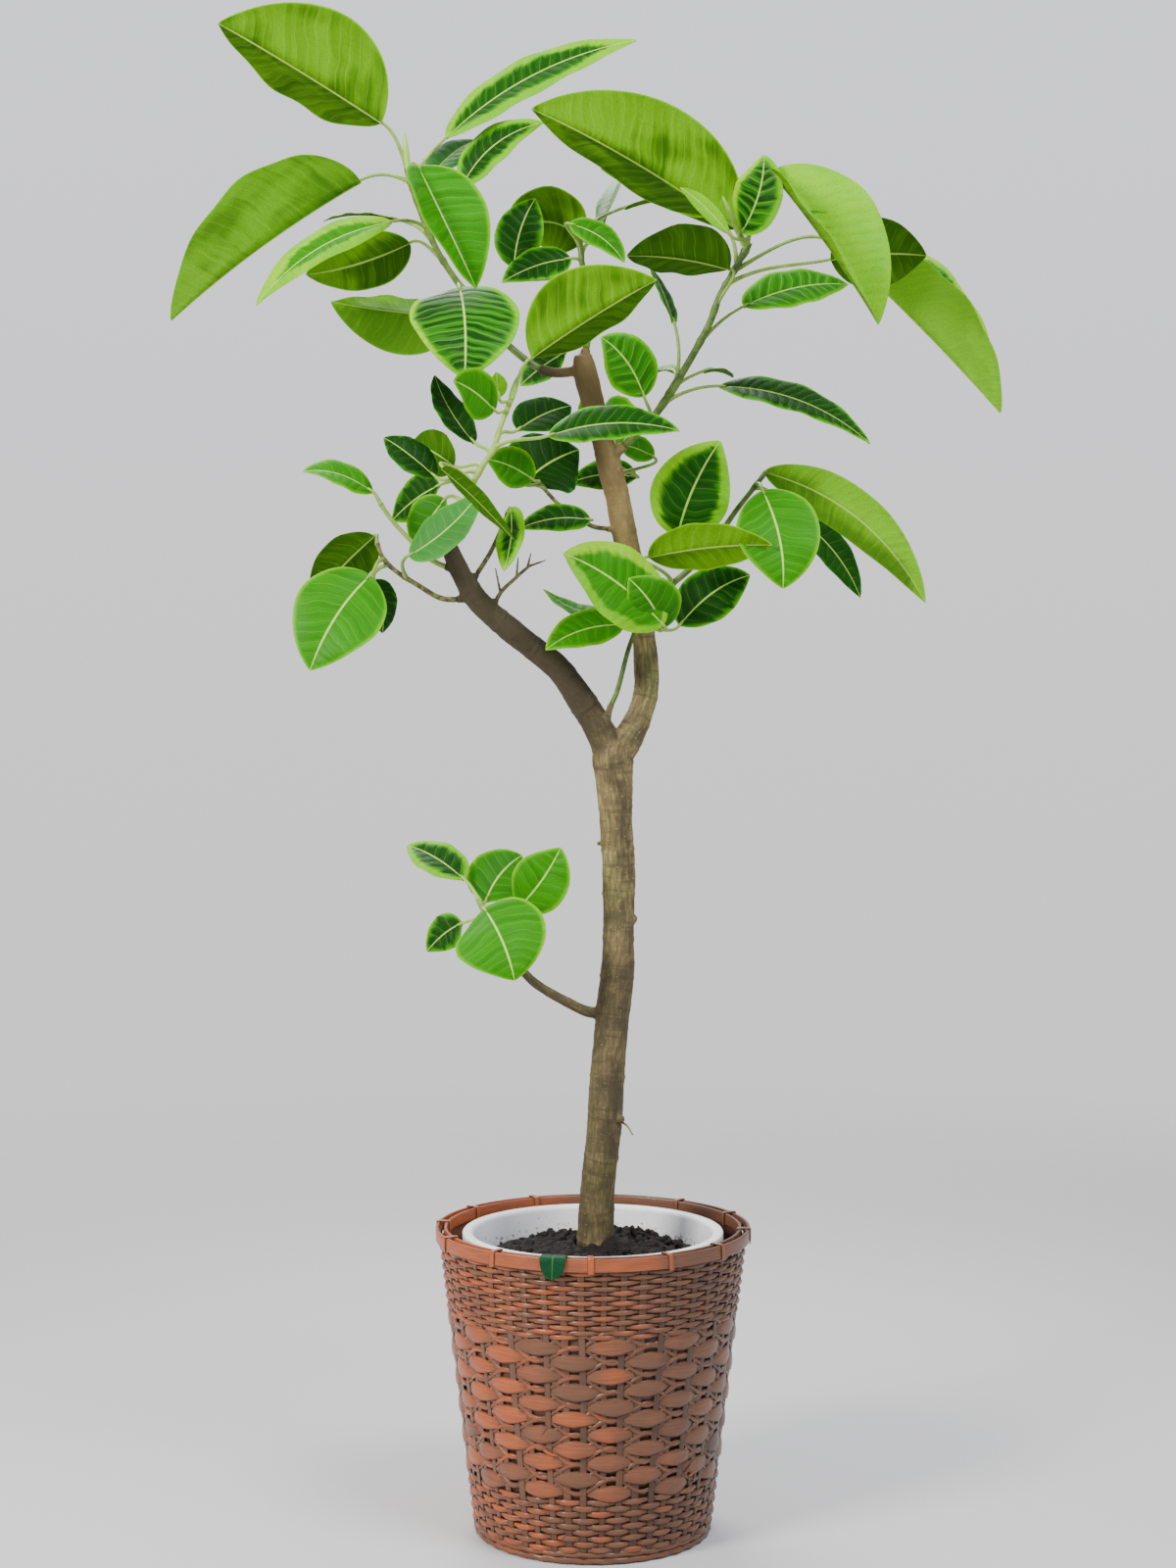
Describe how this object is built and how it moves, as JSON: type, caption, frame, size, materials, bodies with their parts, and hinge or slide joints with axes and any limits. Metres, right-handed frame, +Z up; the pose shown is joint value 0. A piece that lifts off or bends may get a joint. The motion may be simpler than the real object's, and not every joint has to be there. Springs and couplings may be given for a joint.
{
  "type": "potted plant",
  "caption": "Potted council tree: variegated broad-leaved fig on a forked trunk, in a white pot inside a woven wicker basket.",
  "frame": {"origin": "middle of the basket's foot, on the surface that it stands on", "axes": "+Z up along the pot's axis, +X to the right of the viewer, -Y towards the viewer"},
  "size_m": [0.8414, 0.398, 1.5438],
  "materials": {
    "wicker": "satin",
    "white_plastic": "satin",
    "soil": "matte",
    "bark": "matte",
    "leaf": "satin"
  },
  "bodies": {
    "root": {"basket_wall": "wicker", "basket_rim_outer": "wicker", "basket_rim_inner": "wicker", "inner_pot": "white_plastic", "soil": "soil", "trunk": "bark", "bare_twig": "leaf", "crown_centre_shoot": "leaf", "crown_left_shoot": "leaf", "crown_right_shoot": "leaf", "fork_shoot": "leaf", "limb_twig": "leaf", "low_shoot": "leaf", "lower_left_twig": "leaf", "mid_left_shoot": "leaf", "right_shoot": "leaf", "stem_back_twig": "leaf", "stem_left_twig": "leaf", "upper_left_twig": "leaf", "caught_leaf": "leaf"}
  },
  "joints": []
}
